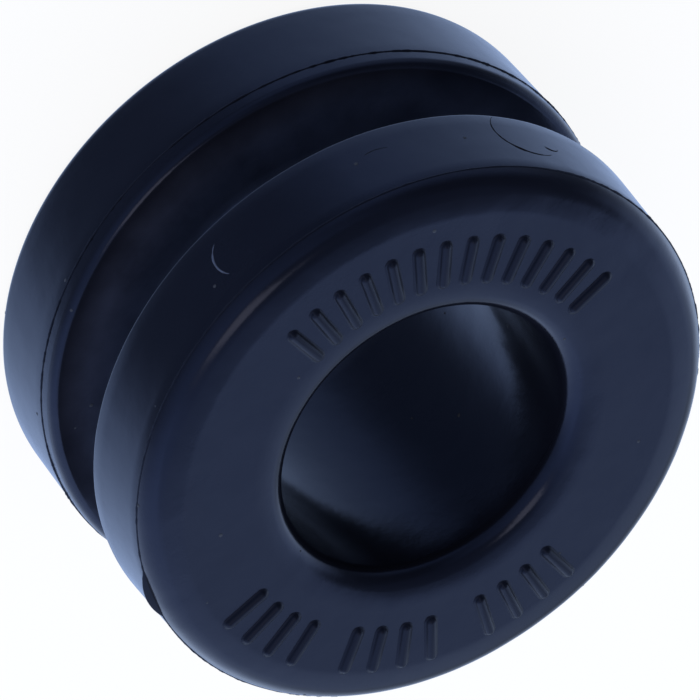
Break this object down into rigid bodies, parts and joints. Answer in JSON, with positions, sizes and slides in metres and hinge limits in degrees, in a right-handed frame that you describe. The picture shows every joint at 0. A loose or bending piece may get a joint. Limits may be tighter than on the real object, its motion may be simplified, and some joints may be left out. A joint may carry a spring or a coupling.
{
  "type": "shift rod bushing",
  "caption": "Black rubber spool bushing: two thick rounded flanges, a deep groove between them for a lever's edge and a round bore for a shift rod's pin.",
  "frame": {"origin": "centre of the bore, on the plane of the rear face that it stands on", "axes": "+Z along the bore from the rear face to the front face with the raised bars; X and Y across it, with the side seen nearest in the picture at -Y"},
  "size_m": [0.0244, 0.0244, 0.0133],
  "materials": {
    "rubber": "satin black moulded rubber with a slight blue cast, fine moulding texture and a few scuffs"
  },
  "bodies": {
    "root": {"bushing": "rubber"}
  },
  "joints": []
}
